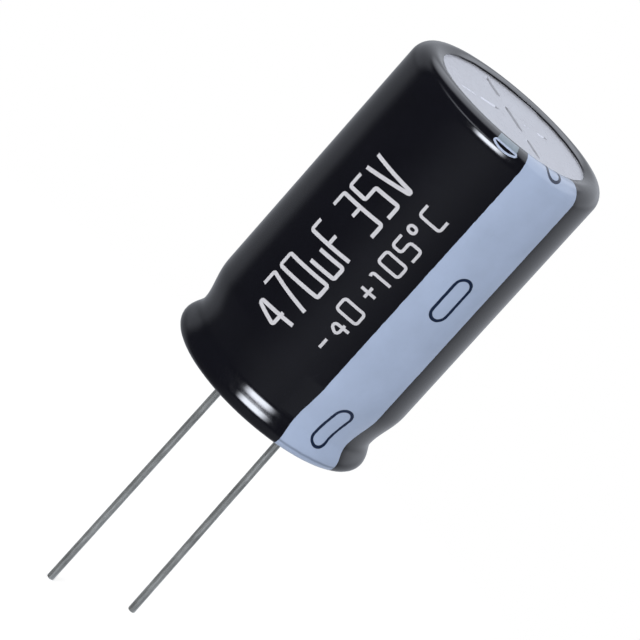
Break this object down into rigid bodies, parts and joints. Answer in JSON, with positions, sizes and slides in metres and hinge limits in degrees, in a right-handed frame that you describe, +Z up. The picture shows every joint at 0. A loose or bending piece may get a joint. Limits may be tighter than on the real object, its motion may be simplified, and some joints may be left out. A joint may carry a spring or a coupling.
{
  "type": "electrolytic capacitor",
  "caption": "Radial electrolytic capacitor: sleeved aluminium can with a polarity stripe, a scored vent end and tinned leads of unequal length for a circuit board.",
  "frame": {"origin": "middle of the seating plane, midway between the two leads", "axes": "+Z runs up through the can to its scored end, +X points to the cathode lead on the side of the polarity stripe, and the leads run down along -Z"},
  "size_m": [0.0224, 0.0224, 0.0667],
  "materials": {
    "aluminium": "satin drawn aluminium",
    "sleeve_film": "glossy shrunk film",
    "stripe_print": "pale blue-grey printing ink",
    "mark_print": "dark blue printing ink",
    "seal_rubber": "matt moulded rubber",
    "foil_winding": "paper and foil edges, damp with electrolyte",
    "closing_tape": "smooth closing tape",
    "tab_aluminium": "pressed aluminium",
    "tinned_wire": "dull bright tin"
  },
  "bodies": {
    "root": {"can": "aluminium", "sleeve": "sleeve_film", "polarity_stripe": "stripe_print", "minus_marks": "mark_print", "rubber_bung": "seal_rubber", "winding": "foil_winding", "winding_tape": "closing_tape", "anode_tab": "tab_aluminium", "cathode_tab": "tab_aluminium", "anode_lead": "tinned_wire", "cathode_lead": "tinned_wire"}
  },
  "joints": []
}
